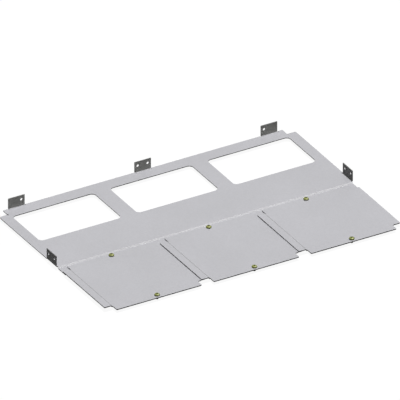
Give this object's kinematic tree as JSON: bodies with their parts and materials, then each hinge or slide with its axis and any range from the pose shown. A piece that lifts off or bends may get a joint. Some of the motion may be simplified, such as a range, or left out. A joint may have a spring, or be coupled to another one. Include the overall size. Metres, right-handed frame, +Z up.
{
  "type": "enclosure bottom panel",
  "caption": "Flat bottom panel for an electrical enclosure: a windowed back plate with upright fixing tabs and overlapping removable gland plates screwed on along the front.",
  "frame": {"origin": "middle of the panel's bounding box, at the level of its screw ends, which it rests on", "axes": "+X along the width to the right, +Y from the gland plates towards the back tabs, +Z up, the way the tabs stand"},
  "size_m": [0.5995, 0.3996, 0.0278],
  "materials": {
    "zinc_sheet": "satin zinc-coated sheet",
    "yellow_passivated": "zinc plate with yellow-green passivation",
    "plain_zinc": "bright zinc plate"
  },
  "bodies": {
    "root": {"back_plate": "zinc_sheet", "gland_plate_left": "zinc_sheet", "gland_plate_middle": "zinc_sheet", "gland_plate_right": "zinc_sheet", "screw_left_back": "yellow_passivated", "screw_left_front": "yellow_passivated", "screw_middle_back": "yellow_passivated", "screw_middle_front": "yellow_passivated", "screw_right_back": "yellow_passivated", "screw_right_front": "yellow_passivated", "clinch_nut_left": "plain_zinc", "clinch_nut_middle": "plain_zinc", "clinch_nut_right": "plain_zinc"}
  },
  "joints": []
}
